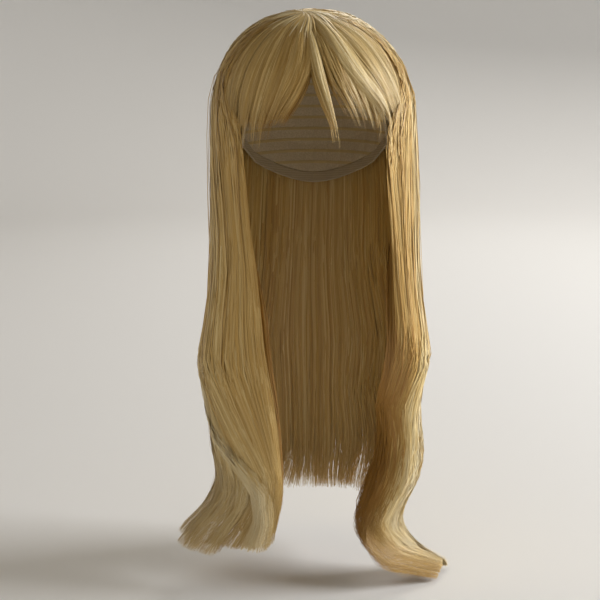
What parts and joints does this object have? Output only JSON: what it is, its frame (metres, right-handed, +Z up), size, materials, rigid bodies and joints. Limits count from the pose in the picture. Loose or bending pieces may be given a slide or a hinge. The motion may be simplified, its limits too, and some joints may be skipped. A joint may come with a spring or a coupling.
{
  "type": "costume wig",
  "caption": "Long light-blond costume wig with a split fringe, long side locks that flick outwards at the ends, a back curtain, and a thin sewn cap with an elastic edge.",
  "frame": {"origin": "the top of the head inside the cap, where the wig rests on the head that wears it", "axes": "+Z up along the head, the face side towards -Y, +X towards the viewer's right as seen from the front"},
  "size_m": [0.2623, 0.2156, 0.5472],
  "materials": {
    "hair": "satin",
    "cap_net": "matte",
    "edge_elastic": "matte"
  },
  "bodies": {
    "root": {"cap": "cap_net", "cap_edge_band": "edge_elastic", "crown_swirl": "hair", "fringe_left": "hair", "fringe_centre": "hair", "fringe_right": "hair", "side_left": "hair", "side_right": "hair", "back": "hair"}
  },
  "joints": []
}
